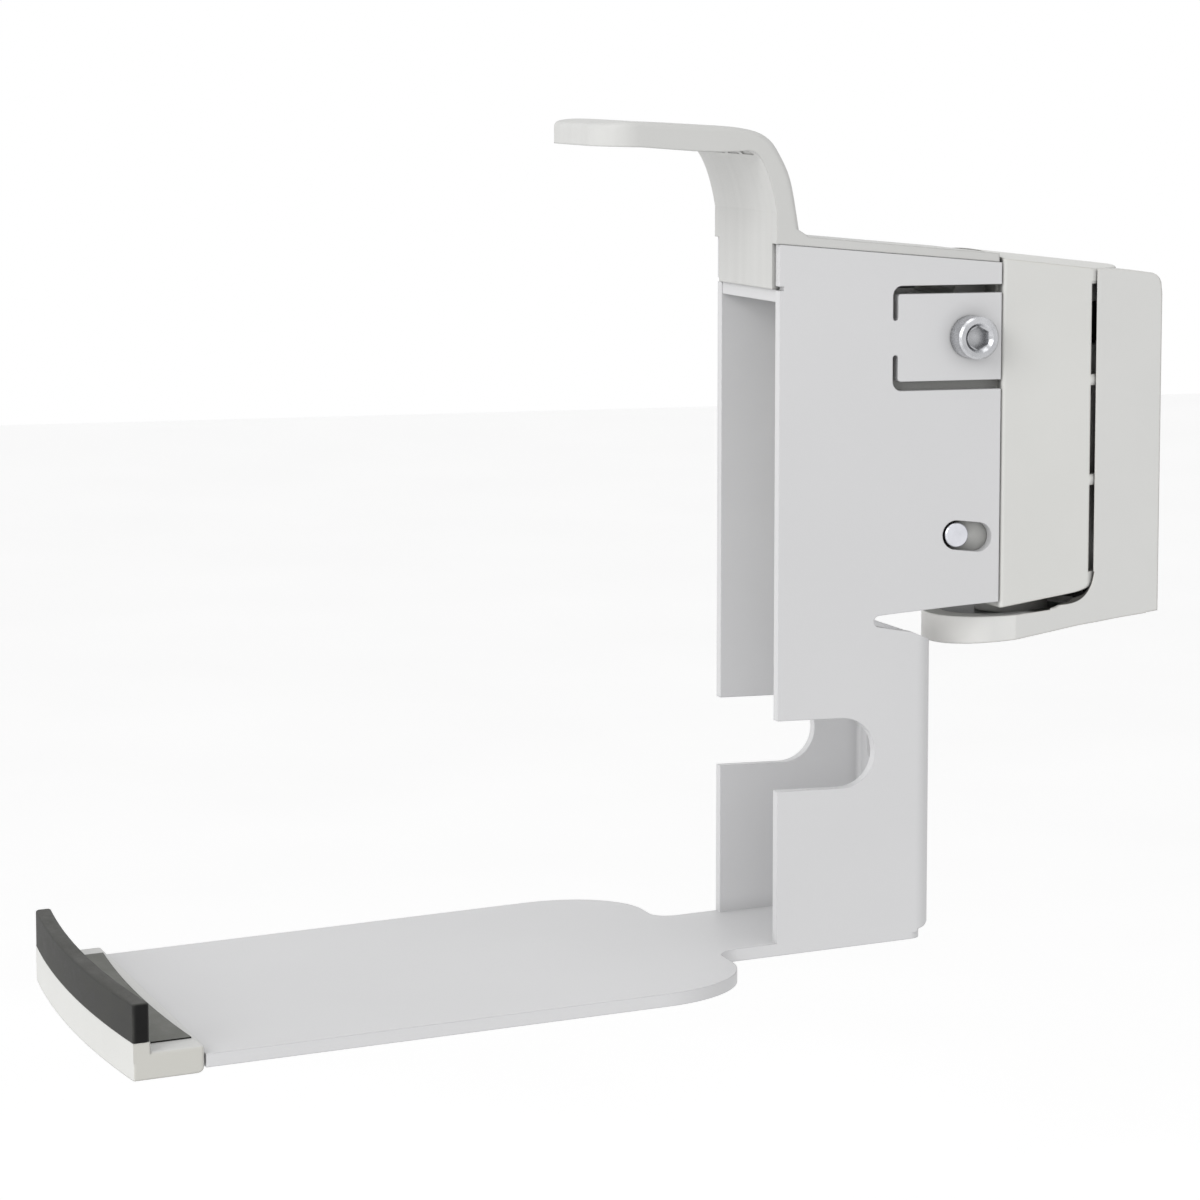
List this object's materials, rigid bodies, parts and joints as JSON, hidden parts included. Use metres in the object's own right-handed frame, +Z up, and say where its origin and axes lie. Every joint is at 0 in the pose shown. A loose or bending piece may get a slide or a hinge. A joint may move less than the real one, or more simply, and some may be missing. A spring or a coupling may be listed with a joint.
{
  "type": "speaker wall bracket",
  "caption": "Wall bracket for a compact speaker: shelf with padded front lip, top hook, swivel block on a wall plate and a clamped tilt joint.",
  "frame": {"origin": "middle of the wall plate's back face, on the wall", "axes": "+Y into the wall, so the shelf reaches out along -Y; +Z up; +X towards the clamp bolt's head"},
  "size_m": [0.1144, 0.2655, 0.2101],
  "materials": {
    "powder_coat": "satin",
    "hook_plastic": "matt",
    "block_plastic": "matt",
    "plate_plastic": "matt",
    "lip_plastic": "satin",
    "rubber": "matt",
    "zinc": "bright zinc plate",
    "dark_steel": "oiled"
  },
  "bodies": {
    "wall_body": {"wall_plate": "plate_plastic", "swivel_axle": "dark_steel", "swivel_washer": "dark_steel"},
    "swivel_body": {"swivel_block": "block_plastic", "clamp_bolt": "zinc", "clamp_nut": "zinc", "stop_pin": "zinc"},
    "cradle_body": {"cradle": "powder_coat", "top_hook": "hook_plastic", "hook_screws": "zinc", "front_lip": "lip_plastic", "lip_pad": "rubber", "lip_screws": "zinc"}
  },
  "joints": [
    {"name": "swivel", "type": "hinge", "parent": "wall_body", "child": "swivel_body", "pos_m": [0, -0.0294, 0], "axis": [0, 0, 1], "range_deg": [-30, 30]},
    {"name": "tilt", "type": "hinge", "parent": "swivel_body", "child": "cradle_body", "pos_m": [0, -0.0445, 0.0416], "axis": [-1, 0, 0], "range_deg": [0, 4.9]}
  ]
}
